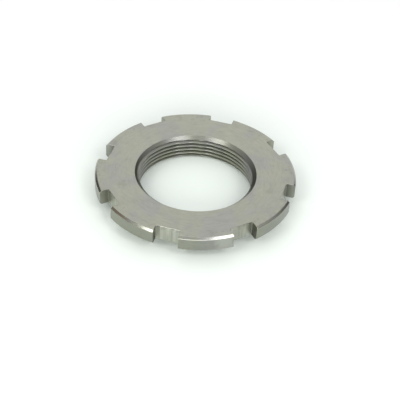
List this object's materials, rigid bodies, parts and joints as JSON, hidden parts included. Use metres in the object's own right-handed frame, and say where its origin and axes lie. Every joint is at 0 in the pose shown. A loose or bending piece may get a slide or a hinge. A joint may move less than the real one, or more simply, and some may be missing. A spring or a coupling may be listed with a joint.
{
  "type": "slotted lock nut",
  "caption": "Round steel lock nut with spanner slots in its flanged rim, a fine internal thread and a plain seating hub on the underside.",
  "frame": {"origin": "centre of the hub's seating face, which is the underside that the nut rests on", "axes": "+Z along the thread's axis, from the hub's seating face towards the flange's flat top face; +X through the middle of one tooth"},
  "size_m": [0.046, 0.046, 0.0062],
  "materials": {
    "machined_steel": "turned and milled bare steel, dull, with fine grain and light stains"
  },
  "bodies": {
    "root": {"slotted_nut": "machined_steel"}
  },
  "joints": []
}
